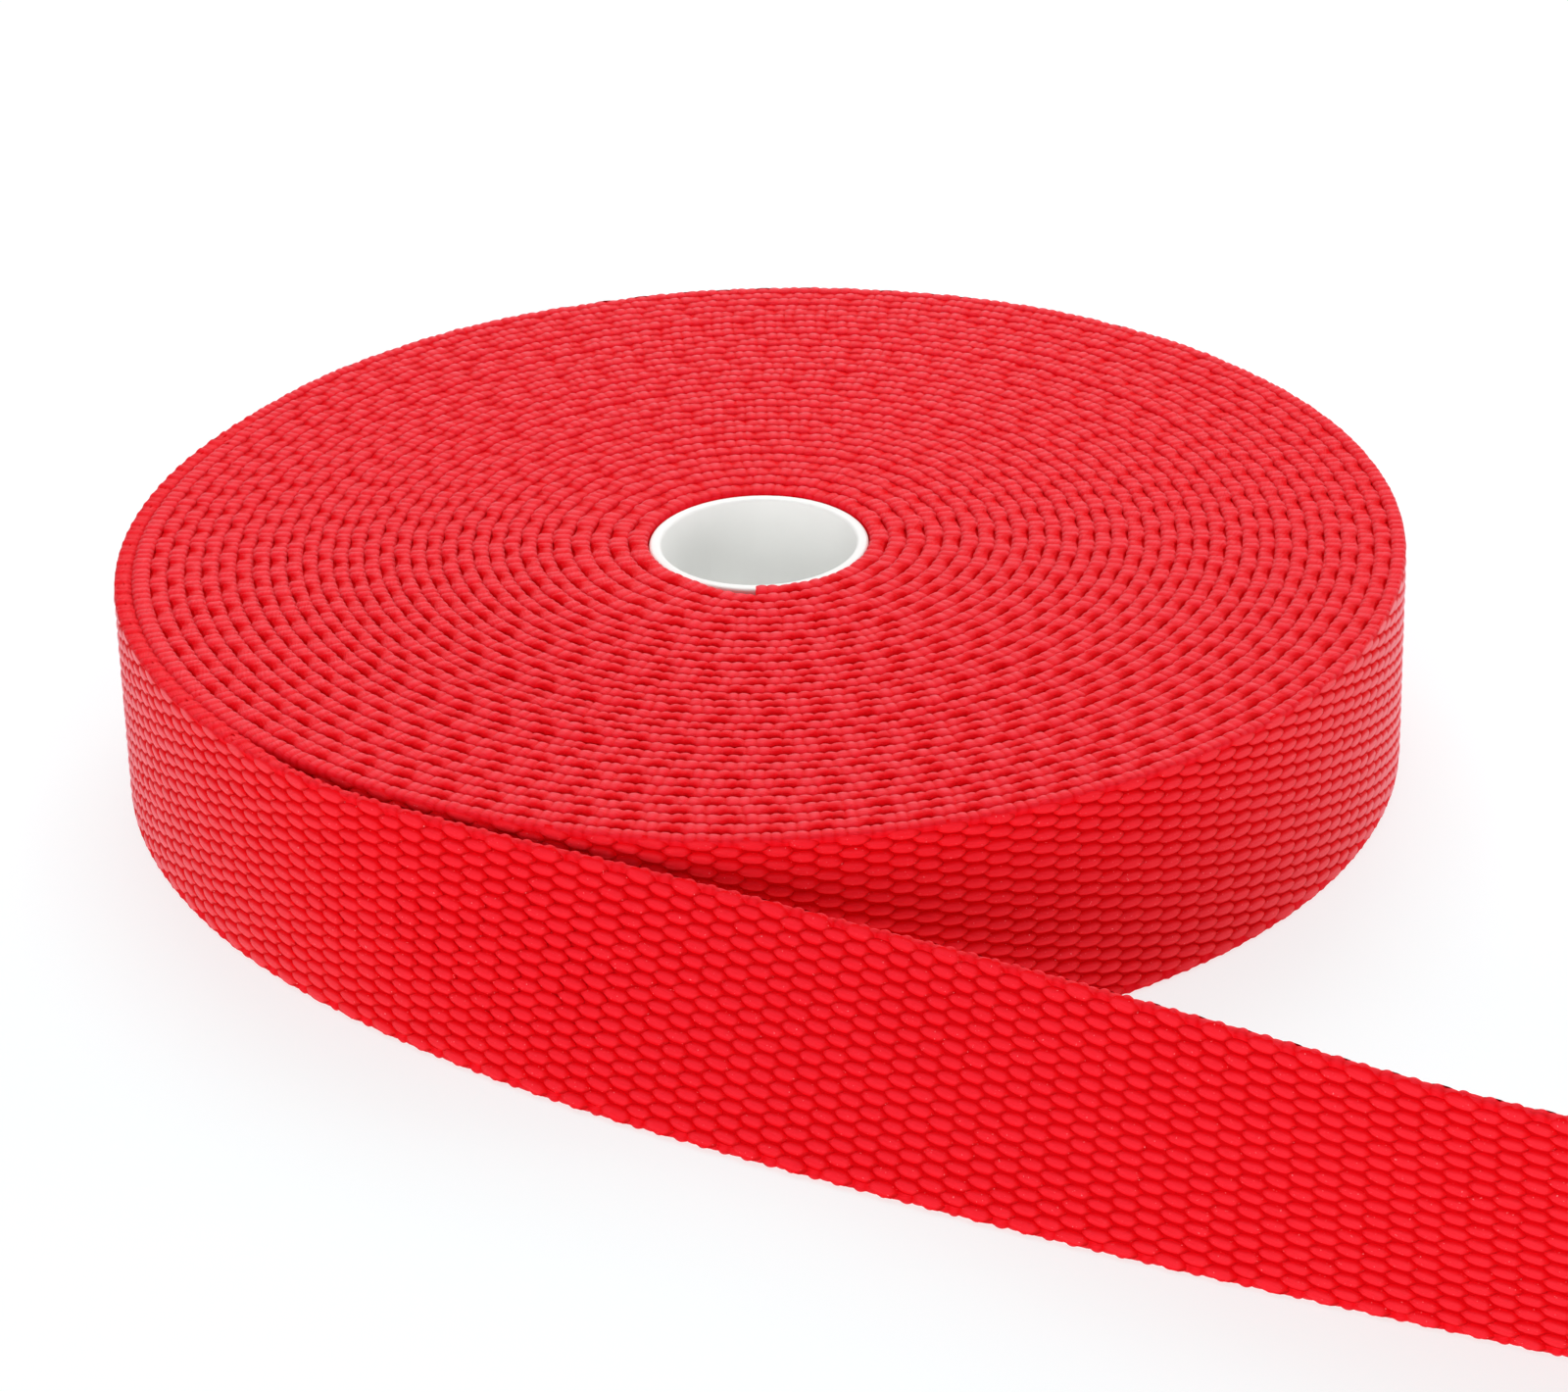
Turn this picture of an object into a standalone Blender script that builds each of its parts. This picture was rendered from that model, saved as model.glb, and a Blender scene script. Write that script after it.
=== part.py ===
"""A roll of woven nylon webbing on a white tube, with its outer end pulled loose.

The roll lies flat on its side. The webbing is wound counter-clockwise, seen from above, on a
short tube. Its last stretch has sprung away from the roll, leans back against it, straightens up
and runs off to the right. Angles are seen from above, from +X towards +Y.
"""
import math

import bpy

MM = 0.001

# The webbing
WEBBING_WIDTH = 25.0 * MM
WEBBING_THICKNESS = 1.45 * MM
PIECE_GAP = 0.3 * MM
CUT_GAP = 0.35 * MM

# The tube, which lies a little off the middle of the roll
TUBE_OUTER_RADIUS = 11.9 * MM
TUBE_WALL = 1.3 * MM
TUBE_HEIGHT = 24.3 * MM
TUBE_EDGE = 0.2 * MM
TUBE_SEAM = 0.01 * MM
TUBE_CENTRE_X = -1.5 * MM
TUBE_CENTRE_Y = -0.9 * MM

# The wound form, a spiral whose outer face ends where the loose end begins
ROLL_END_RADIUS = 69.05 * MM
ROLL_END_ANGLE = 150.0
TURN_PITCH = 1.75 * MM

# The outermost turn under the loose end has sprung out along the front left
SPRING = 1.5 * MM
SPRING_RISE = (-210.0, -170.0)
SPRING_FALL = (-105.0, -60.0)

# The first turn starts at a cut edge on the tube, and the second turn climbs over that edge
INNER_END_ANGLE = -92.0
INNER_CLIMB = 40.0

# The loose end: its lower edge starts here and follows the table below
LOOSE_START_X = -59.19 * MM
LOOSE_START_Y = 34.17 * MM
LOOSE_LENGTH = 245.0 * MM
HEADING, LEAN = 1, 2
LOOSE_STATIONS = (
    # distance along the edge (mm), heading (degrees), lean of the top towards the roll (degrees)
    (0.0, -121.6, 0.0),
    (20.0, -106.1, 0.0),
    (40.0, -88.8, 0.0),
    (60.0, -71.2, 0.0),
    (80.0, -57.7, 0.8),
    (100.0, -45.4, 3.8),
    (120.0, -38.0, 13.7),
    (140.0, -32.0, 25.7),
    (160.0, -29.0, 25.8),
    (180.0, -27.6, 19.4),
    (200.0, -25.4, 10.8),
    (220.0, -24.7, 2.7),
    (240.0, -24.4, 0.0),
    (260.0, -24.0, 0.0),
)

# Fineness of the faceted solids
OUTER_STEPS = 120
INNER_STEPS = 72
TUBE_STEPS = 72
LOOSE_STEPS = 49
INTEGRATION_STEPS = 20
EDGE_STEPS = 4

WEBBING_COLOUR = (0.80, 0.018, 0.030, 1.0)
WEBBING_ROUGHNESS = 0.55
TUBE_COLOUR = (0.86, 0.86, 0.84, 1.0)
TUBE_ROUGHNESS = 0.42


def clear_scene():
    for obj in list(bpy.data.objects):
        bpy.data.objects.remove(obj, do_unlink=True)


def make_material(name, colour, roughness):
    material = bpy.data.materials.new(name)
    material.use_nodes = True
    shader = material.node_tree.nodes["Principled BSDF"]
    shader.inputs["Base Color"].default_value = colour
    shader.inputs["Roughness"].default_value = roughness
    shader.inputs["Metallic"].default_value = 0.0
    return material


def smooth_step(value, low, high):
    """0 below low, 1 above high, and an even curve between them."""
    share = min(max((value - low) / (high - low), 0.0), 1.0)
    return share * share * (3.0 - 2.0 * share)


def station_value(distance, column):
    """A column of the loose end's table, read as a smooth curve through its rows."""
    rows = LOOSE_STATIONS
    last = len(rows) - 1
    spacing = (rows[1][0] - rows[0][0]) * MM
    row = min(int(distance / spacing), last - 1)
    share = distance / spacing - row
    before, start, end, after = (rows[min(max(row + k, 0), last)][column] for k in (-1, 0, 1, 2))
    slope_start = (end - before) / 2.0
    slope_end = (after - start) / 2.0
    rise = end - start
    curve = 3.0 * rise - 2.0 * slope_start - slope_end
    twist = slope_start + slope_end - 2.0 * rise
    return start + share * (slope_start + share * (curve + share * twist))


def loose_end_path():
    """Points (x, y, lean) along the loose end's lower edge, worked out from its headings."""
    x, y = LOOSE_START_X, LOOSE_START_Y
    step = LOOSE_LENGTH / LOOSE_STEPS
    small = step / INTEGRATION_STEPS
    points = [(x, y, station_value(0.0, LEAN))]
    for index in range(LOOSE_STEPS):
        for part in range(INTEGRATION_STEPS):
            heading = math.radians(station_value(index * step + (part + 0.5) * small, HEADING))
            x += small * math.cos(heading)
            y += small * math.sin(heading)
        points.append((x, y, station_value((index + 1) * step, LEAN)))
    return points


def roll_outline():
    """The outer face of the wound form: one turn of the spiral, with a step of one webbing."""
    start = ROLL_END_ANGLE - 360.0
    end = ROLL_END_ANGLE - math.degrees(CUT_GAP / ROLL_END_RADIUS)
    points = []
    for index in range(OUTER_STEPS + 1):
        angle = start + (end - start) * index / OUTER_STEPS
        radius = ROLL_END_RADIUS - TURN_PITCH * (ROLL_END_ANGLE - angle) / 360.0
        radius += SPRING * smooth_step(angle, *SPRING_RISE) * (1.0 - smooth_step(angle, *SPRING_FALL))
        points.append((radius * math.cos(math.radians(angle)), radius * math.sin(math.radians(angle))))
    return points


def hole_outline():
    """The inner face of the wound form, clear of the tube, with the cut edge of the first turn."""
    points = []
    for index in range(INNER_STEPS + 1):
        turn = 360.0 * index / INNER_STEPS
        angle = math.radians(INNER_END_ANGLE + turn)
        climb = TURN_PITCH * smooth_step(turn, 360.0 - INNER_CLIMB, 360.0)
        radius = TUBE_OUTER_RADIUS + PIECE_GAP + climb
        points.append((TUBE_CENTRE_X + radius * math.cos(angle), TUBE_CENTRE_Y + radius * math.sin(angle)))
    return points


def edge_section():
    """The webbing's section: flat faces and two round edges, upright over the lower round's centre."""
    radius = WEBBING_THICKNESS / 2.0
    rise = WEBBING_WIDTH - WEBBING_THICKNESS
    points = []
    for centre, first in ((rise, 180.0), (0.0, 0.0)):
        for index in range(EDGE_STEPS + 1):
            angle = math.radians(first - 180.0 * index / EDGE_STEPS)
            points.append((radius * math.cos(angle), centre + radius * math.sin(angle)))
    return points


def add_spline(curve, points, closed):
    """A straight-sided spline through points of two or three coordinates."""
    spline = curve.splines.new("POLY")
    spline.points.add(len(points) - 1)
    for target, point in zip(spline.points, points):
        target.co = (point[0], point[1], point[2] if len(point) > 2 else 0.0, 1.0)
    spline.use_cyclic_u = closed
    return spline


def place(obj, collection, parent, material):
    collection.objects.link(obj)
    obj.parent = parent
    if material:
        obj.data.materials.append(material)
    return obj


def make_webbing_roll(collection, parent, material):
    """All the wound turns as one ring, extruded from its flat outline."""
    curve = bpy.data.curves.new("webbing_roll", "CURVE")
    curve.dimensions = "2D"
    curve.fill_mode = "BOTH"
    curve.extrude = WEBBING_WIDTH / 2.0
    add_spline(curve, roll_outline(), True)
    add_spline(curve, hole_outline(), True)
    roll = place(bpy.data.objects.new("webbing_roll", curve), collection, parent, material)
    roll.location.z = WEBBING_WIDTH / 2.0
    return roll


def make_loose_end(collection, guides, parent, material):
    """The loose stretch: the webbing's section carried along its lower edge and leaned."""
    section = bpy.data.curves.new("webbing_section", "CURVE")
    section.dimensions = "2D"
    section.fill_mode = "NONE"
    add_spline(section, edge_section(), True)
    guide = place(bpy.data.objects.new("webbing_section", section), guides, parent, None)
    guide.hide_render = True
    guide.display_type = "WIRE"

    path = loose_end_path()
    curve = bpy.data.curves.new("loose_end", "CURVE")
    curve.dimensions = "3D"
    curve.twist_mode = "Z_UP"
    curve.bevel_mode = "OBJECT"
    curve.bevel_object = guide
    curve.use_fill_caps = True
    spline = add_spline(curve, [(x, y, WEBBING_THICKNESS / 2.0) for x, y, lean in path], False)
    for target, (x, y, lean) in zip(spline.points, path):
        target.tilt = math.radians(-lean)
    return place(bpy.data.objects.new("loose_end", curve), collection, parent, material)


def make_core_tube(collection, parent, material):
    """The tube, turned about its own axis, with small chamfers on its four edges."""
    outer = TUBE_OUTER_RADIUS
    inner = TUBE_OUTER_RADIUS - TUBE_WALL
    edge = TUBE_EDGE
    profile = (
        (inner + edge, TUBE_HEIGHT),
        (outer - edge, TUBE_HEIGHT),
        (outer, TUBE_HEIGHT - edge),
        (outer, edge),
        (outer - edge, 0.0),
        (inner + edge, 0.0),
        (inner, edge),
        (inner, TUBE_HEIGHT - edge),
    )
    corners = len(profile)
    mesh = bpy.data.meshes.new("core_tube")
    edges = [(index, (index + 1) % corners) for index in range(corners)]
    mesh.from_pydata([(radius, 0.0, z) for radius, z in profile], edges, [])
    tube = place(bpy.data.objects.new("core_tube", mesh), collection, parent, material)
    tube.location = (TUBE_CENTRE_X, TUBE_CENTRE_Y, 0.0)
    screw = tube.modifiers.new("turn", "SCREW")
    screw.angle = math.radians(360.0)
    screw.steps = TUBE_STEPS
    screw.render_steps = TUBE_STEPS
    screw.use_merge_vertices = True
    screw.merge_threshold = TUBE_SEAM
    screw.use_smooth_shade = True
    return tube


def middle_of(objects):
    """The middle, seen from above, of the box round the objects as they lie."""
    bpy.context.view_layer.update()
    graph = bpy.context.evaluated_depsgraph_get()
    corners = []
    for obj in objects:
        shape = obj.evaluated_get(graph)
        mesh = shape.to_mesh()
        corners.extend(shape.matrix_world @ vertex.co for vertex in mesh.vertices)
        shape.to_mesh_clear()
    xs = [corner.x for corner in corners]
    ys = [corner.y for corner in corners]
    return (min(xs) + max(xs)) / 2.0, (min(ys) + max(ys)) / 2.0


def main():
    clear_scene()
    collection = bpy.data.collections.new("webbing_roll_on_tube")
    guides = bpy.data.collections.new("guides")
    bpy.context.scene.collection.children.link(collection)
    bpy.context.scene.collection.children.link(guides)
    origin = bpy.data.objects.new("origin", None)
    collection.objects.link(origin)

    webbing = make_material("webbing_nylon", WEBBING_COLOUR, WEBBING_ROUGHNESS)
    plastic = make_material("tube_plastic", TUBE_COLOUR, TUBE_ROUGHNESS)
    pieces = [
        make_webbing_roll(collection, origin, webbing),
        make_loose_end(collection, guides, origin, webbing),
        make_core_tube(collection, origin, plastic),
    ]
    middle_x, middle_y = middle_of(pieces)
    origin.location = (-middle_x, -middle_y, 0.0)


main()
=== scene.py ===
"""The looks of a roll of woven nylon webbing on a white tube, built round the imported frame.

The webbing is one band, woven so that its lengthwise yarns come up as rows of short floats. A place
on it is given by its distance along the band, counted from where the loose end leaves the roll
(negative inside the roll), and its height across the band. The wound turns, the outer face and the
loose end all read the weave at that distance, so the rows run on from one piece to the next.
Angles are seen from above, from +X towards +Y.
"""

import math

import bpy
import numpy as np
from bpy.props import FloatProperty, FloatVectorProperty, IntProperty, PointerProperty
from bpy.types import Operator, Panel, PropertyGroup
from mathutils import Matrix, Vector


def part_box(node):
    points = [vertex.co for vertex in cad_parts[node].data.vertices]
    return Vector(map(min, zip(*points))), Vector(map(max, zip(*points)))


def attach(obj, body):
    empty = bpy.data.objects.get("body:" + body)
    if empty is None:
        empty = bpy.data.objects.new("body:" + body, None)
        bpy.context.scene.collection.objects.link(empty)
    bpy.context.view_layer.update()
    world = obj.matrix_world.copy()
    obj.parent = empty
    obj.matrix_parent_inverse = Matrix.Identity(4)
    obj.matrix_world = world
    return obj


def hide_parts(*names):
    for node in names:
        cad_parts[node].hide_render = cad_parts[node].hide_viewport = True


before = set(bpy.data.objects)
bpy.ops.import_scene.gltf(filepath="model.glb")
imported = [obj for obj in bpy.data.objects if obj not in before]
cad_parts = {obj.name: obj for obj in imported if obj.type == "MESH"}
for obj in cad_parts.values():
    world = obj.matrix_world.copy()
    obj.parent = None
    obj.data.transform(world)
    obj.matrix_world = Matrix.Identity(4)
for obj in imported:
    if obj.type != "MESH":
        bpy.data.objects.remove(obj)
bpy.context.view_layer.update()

bl_info = {
    "name": "Webbing roll",
    "version": (1, 0, 0),
    "blender": (4, 5, 0),
    "location": "View3D > Sidebar > Webbing",
    "description": "Builds a roll of woven webbing on its tube, with the outer end pulled loose",
    "category": "Add Mesh",
}

MM = 0.001
BODY = "root"

# Where things are, from the frame
TUBE_LOW, TUBE_HIGH = (np.array(corner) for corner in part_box("core_tube"))
TUBE_CENTRE = (TUBE_LOW[:2] + TUBE_HIGH[:2]) / 2.0
TUBE_RADIUS = (TUBE_HIGH[0] - TUBE_LOW[0]) / 2.0
TUBE_OFFSET = np.array([-1.5, -0.9]) * MM
ROLL_AXIS = TUBE_CENTRE - TUBE_OFFSET

# The winding
PIECE_GAP = 0.3 * MM
ROLL_END_RADIUS = 69.05 * MM
ROLL_END_ANGLE = 150.0
INNER_END_ANGLE = -92.0
WHOLE_TURNS = 31
TURN_PITCH = 1.75 * MM
INNER_CLIMB = 0.11
CLIMB_FADES_IN = 5.0
SLACK_INSIDE = 0.07
SPRING = 1.5 * MM
SPRING_RISE = (150.0, 190.0)
SPRING_FALL = (255.0, 300.0)
SPRING_FROM_SHARE = 0.72
PROBE_STEP = 0.2 * MM

# How far back round the roll the open outer turn reaches, and the floats on it, in degrees
OPEN_TURN = 366.0
FLOAT_TURN = 364.0

# The loose end, as in the part: its lower edge's start and its table of stations
LOOSE_START = np.array([-59.19, 34.17]) * MM
LOOSE_LENGTH = 245.0 * MM
LOOSE_STATIONS = np.array([
    # distance along the edge (mm), heading (degrees), lean of the top towards the roll (degrees)
    (0.0, -121.6, 0.0),
    (20.0, -106.1, 0.0),
    (40.0, -88.8, 0.0),
    (60.0, -71.2, 0.0),
    (80.0, -57.7, 0.8),
    (100.0, -45.4, 3.8),
    (120.0, -38.0, 13.7),
    (140.0, -32.0, 25.7),
    (160.0, -29.0, 25.8),
    (180.0, -27.6, 19.4),
    (200.0, -25.4, 10.8),
    (220.0, -24.7, 2.7),
    (240.0, -24.4, 0.0),
    (260.0, -24.0, 0.0),
])
HEADING, LEAN = 1, 2
LOOSE_READINGS = 2451
LOOSE_RINGS = 101

# One float, as shares of its own sizes
FLOAT_STATIONS = (
    # place along the float, half width, height, sideways sway
    (-0.50, 0.04, 0.00, 0.070),
    (-0.44, 0.24, 0.42, 0.062),
    (-0.32, 0.40, 0.76, 0.042),
    (-0.12, 0.49, 0.96, 0.012),
    (0.08, 0.50, 1.00, -0.012),
    (0.25, 0.46, 0.95, -0.036),
    (0.38, 0.35, 0.78, -0.060),
    (0.46, 0.20, 0.42, -0.080),
    (0.50, 0.04, 0.00, -0.090),
)
FLOAT_FOOT = 0.22
FLOAT_SIDES = 4

# The outermost rows of floats, set a little further out and longer
LAST_ROW_OUT = 0.06 * MM
LAST_ROW_STRETCH = 1.12

# The cloth under the floats, and how far below the webbing's edge it ends
TURN_CLOTH_OUT = 0.90 * MM
TURN_CLOTH_IN = 0.78 * MM
TURN_CLOTH_DROP = 0.76 * MM
EDGE_REST = 0.62 * MM
CLOTH_CORNER = 0.15 * MM

# The woven edges' bars and notches along the band, by repeats of the weave
STATIONS_IN_REPEAT = 24.0
LOWER_STATIONS_IN_REPEAT = 8.0
BARS_IN_REPEAT = 4
BAR_SHIFT = 0.03
NOTCH_LENGTH = 0.64
NOTCH_SHIFT = 0.05

# The woven edges' section in millimetres: depths, drops below the webbing's edge, half widths
BAR_DEPTH = 0.16
NOTCH_IN = 0.38
NOTCH_DOWN = 0.30
CREST_DROP = 0.08
SHOULDER_DROP = 0.32
FOOT_DROP = 1.2
TURN_HALF_OUTER = 0.95
TURN_HALF_INNER = 0.89
FACE_HALF = 0.66
FACE_FOOT = 0.38
LOOSE_HALF = 0.48
LAID_FOOT = 1.2

# How unevenly the turns lie in height
TURN_UNEVEN = 0.10 * MM

# Where the loose end lifts off the roll, by distance, where its edge yarns spread to fill the
# widening gap, and by how many millimetres at most
LIFTS_OFF = (80.0 * MM, 100.0 * MM)
SPREADS = (45.0 * MM, 95.0 * MM)
REACH_ACROSS = 0.28

# The tube
TUBE_WALL = 1.3 * MM
TUBE_ROUND = 0.35 * MM
TUBE_STEPS = 192
TUBE_ROUND_STEPS = 4

# The camera, measured from the roll's axis at the floor
CAMERA_BACK = 520.0 * MM
CAMERA_HEIGHT = 271.83 * MM
CAMERA_PITCH = 27.171
CAMERA_YAW = 0.090
CAMERA_ROLL = -1.411
CAMERA_FOCUS_PIXELS = 5419.9
IMAGE_WIDTH_PIXELS = 1600.0
SENSOR_WIDTH = 36.0

# The stage
FLOOR_REACH = 4.0
FLOOR_GLOW = 0.72
WORLD_GLOW = 0.15
LAMPS = (
    # name, place (m), size (m), power (W)
    ("top_softbox", (0.0, 0.1, 1.1), 1.3, 6.1),
    ("back_softbox", (0.0, 1.3, 1.2), 1.2, 15.2),
    ("left_softbox", (-1.3, 0.2, 0.6), 0.9, 1.8),
    ("right_softbox", (1.3, 0.5, 0.35), 1.0, 10.3),
    ("front_softbox", (-0.35, -1.3, 0.12), 0.9, 15.6),
)


class WebbingSizes(PropertyGroup):
    """Sizes of the webbing and its weave"""

    width: FloatProperty(name="Width", description="Width of the webbing", default=25.0 * MM, unit="LENGTH")
    thickness: FloatProperty(
        name="Thickness", description="Thickness over the floats", default=1.45 * MM, unit="LENGTH"
    )
    core: FloatProperty(
        name="Core", description="Thickness of the cloth under the floats", default=0.80 * MM, unit="LENGTH"
    )
    repeat: FloatProperty(
        name="Repeat", description="Distance along a row from float to float", default=4.9 * MM, unit="LENGTH"
    )
    rows: IntProperty(name="Rows", description="Rows of floats across a face", default=32, min=2)
    row_pitch: FloatProperty(
        name="Row pitch", description="Distance between two rows", default=0.742 * MM, unit="LENGTH"
    )
    float_length: FloatProperty(
        name="Float length", description="Length of one float", default=3.1 * MM, unit="LENGTH"
    )
    float_width: FloatProperty(
        name="Float width", description="Width of one float", default=1.34 * MM, unit="LENGTH"
    )
    float_rise: FloatProperty(
        name="Float rise", description="Height of a float over the cloth", default=0.36 * MM, unit="LENGTH"
    )
    seed: IntProperty(name="Seed", description="Seed of the small unevenness", default=7)


class WebbingColours(PropertyGroup):
    """Colours of the webbing, the tube and the stage"""

    # The yarn's own red where a float is lit, with a pink tint added as painted highlight
    yarn: FloatVectorProperty(
        name="Yarn",
        description="Colour of the nylon yarn",
        subtype="COLOR",
        size=3,
        default=(0.95, 0.0190, 0.0350),
    )
    # Darker red painted as shade: on the floats' sides, ends and tips, in the edge notches and on the cloth
    # between the floats
    yarn_painted_shade: FloatVectorProperty(
        name="Deep yarn",
        description="Colour between the floats",
        subtype="COLOR",
        size=3,
        default=(0.85, 0.0002, 0.0040),
    )
    # The edge bars' colour: the yarn's red with a pink tint added as painted sheen
    edge: FloatVectorProperty(
        name="Edge",
        description="Colour of the woven edge",
        subtype="COLOR",
        size=3,
        default=(0.96, 0.021, 0.040),
    )
    # Darker red painted as shade between the edge's bars and towards their sides
    edge_painted_shade: FloatVectorProperty(
        name="Deep edge",
        description="Colour between the edge's bars",
        subtype="COLOR",
        size=3,
        default=(0.86, 0.0005, 0.006),
    )
    # Pale pink used as painted sheen where yarn is seen along its surface, and as the colour of the lint
    # specks
    painted_sheen_and_lint: FloatVectorProperty(
        name="Grazing yarn",
        description="Paler colour of yarn seen along its surface",
        subtype="COLOR",
        size=3,
        default=(0.95, 0.34, 0.38),
    )
    tube: FloatVectorProperty(
        name="Tube", description="Colour of the tube", subtype="COLOR", size=3, default=(0.96, 0.96, 0.94)
    )
    floor: FloatVectorProperty(
        name="Floor", description="Colour of the floor", subtype="COLOR", size=3, default=(0.275, 0.32, 0.33)
    )


# Small shared helpers


def new_mesh_object(name, points, faces=(), smooth=True):
    """An object with a mesh of the given points and faces."""
    mesh = bpy.data.meshes.new(name)
    mesh.from_pydata([tuple(point) for point in points], [], [tuple(face) for face in faces])
    if smooth and len(faces):
        mesh.shade_smooth()
    mesh.update()
    obj = bpy.data.objects.new(name, mesh)
    bpy.context.scene.collection.objects.link(obj)
    return obj


def settle(obj):
    """Turns an object and its modifiers into a plain mesh."""
    graph = bpy.context.evaluated_depsgraph_get()
    mesh = bpy.data.meshes.new_from_object(
        obj.evaluated_get(graph), preserve_all_data_layers=True, depsgraph=graph
    )
    before = obj.data
    obj.modifiers.clear()
    obj.data = mesh
    bpy.data.meshes.remove(before)
    mesh.name = obj.name
    return obj


def carried(obj, slot_name, *nodes):
    """Sets a piece on the root body and hides the nodes that it stands for; the finish it is given is not
    used.
    """
    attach(obj, BODY)
    if nodes:
        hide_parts(*nodes)
    return obj


def smooth_step(value, low, high):
    share = np.clip((value - low) / (high - low), 0.0, 1.0)
    return share * share * (3.0 - 2.0 * share)


def slow_noise(distance, wavelength, seed):
    """A smooth wander between about -1 and 1 along a distance, the same each run."""
    phases = np.random.default_rng(seed).uniform(0.0, 2.0 * math.pi, 4)
    total = np.zeros_like(distance, dtype=float)
    for index, phase in enumerate(phases):
        total += np.sin(2.0 * math.pi * distance / (wavelength * 0.73 ** index) + phase)
    return total / 2.5


# The shape of the winding


def turn_law(turned):
    """Centre line (x, y) of the wound webbing where it has turned so many degrees from its inner end."""
    whole = WHOLE_TURNS * 360.0 + (ROLL_END_ANGLE - INNER_END_ANGLE)
    angle = INNER_END_ANGLE + turned
    turn = np.floor(turned / 360.0)
    part = turned / 360.0 - turn
    climb = smooth_step(part, 1.0 - INNER_CLIMB, 1.0)
    blend = np.clip(turn / CLIMB_FADES_IN, 0.0, 1.0)
    share = (turn + climb * (1.0 - blend) + part * blend) * 360.0 / whole
    eased = share + SLACK_INSIDE * share * (1.0 - share) ** 2
    half = bpy.context.scene.webbing_sizes.thickness / 2.0
    inner = TUBE_RADIUS + PIECE_GAP + half
    radius = inner + (ROLL_END_RADIUS - half - inner) * eased
    round_angle = np.mod(angle - SPRING_RISE[0], 360.0) + SPRING_RISE[0]
    sprung = smooth_step(round_angle, *SPRING_RISE) * (1.0 - smooth_step(round_angle, *SPRING_FALL))
    grown = np.clip((share - SPRING_FROM_SHARE) / (1.0 - SPRING_FROM_SHARE), 0.0, 1.0)
    radius = radius + SPRING * sprung * grown
    centre = ROLL_AXIS + np.outer(1.0 - share, TUBE_OFFSET)
    radians = np.radians(angle)
    return centre + radius[:, None] * np.stack([np.cos(radians), np.sin(radians)], -1)


class Winding:
    """The wound webbing's centre line by distance, with 0 at the loose end's start."""

    def __init__(self):
        whole = WHOLE_TURNS * 360.0 + (ROLL_END_ANGLE - INNER_END_ANGLE)
        self.turned = np.linspace(0.0, whole, int(whole) + 1)
        self.points = turn_law(self.turned)
        steps = np.linalg.norm(np.diff(self.points, axis=0), axis=1)
        self.distance = np.concatenate([[0.0], np.cumsum(steps)])
        self.distance -= self.distance[-1]

    def distance_under_end(self, distance):
        """How far past the loose end's start a place on the last turn lies; large elsewhere."""
        start = np.interp(self.turned[-1] - 360.0, self.turned, self.distance)
        return np.where(distance > start, distance - start, 1.0)

    def slack(self, distance):
        """How much further out than a usual turn the next turn lies; none past the last turn."""
        turned = np.interp(distance, self.distance, self.turned)
        inside = np.minimum(turned, self.turned[-1] - 360.0)
        pitch = np.linalg.norm(turn_law(inside + 360.0) - turn_law(inside), axis=1)
        return np.where(inside < turned, 0.0, pitch - TURN_PITCH)

    def at(self, distance):
        """Points, directions and outward sides, seen from above, at distances along the webbing."""
        def place(where):
            return turn_law(np.interp(where, self.distance, self.turned))

        along = place(np.minimum(distance + PROBE_STEP, 0.0)) - place(distance - PROBE_STEP)
        along /= np.linalg.norm(along, axis=1)[:, None]
        outward = np.stack([along[:, 1], -along[:, 0]], -1)
        return place(distance), along, outward


def last_turn_start(winding):
    """The distance where the outermost turn starts, a little before its place under the end."""
    return np.interp(winding.turned[-1] - OPEN_TURN, winding.turned, winding.distance)


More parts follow.
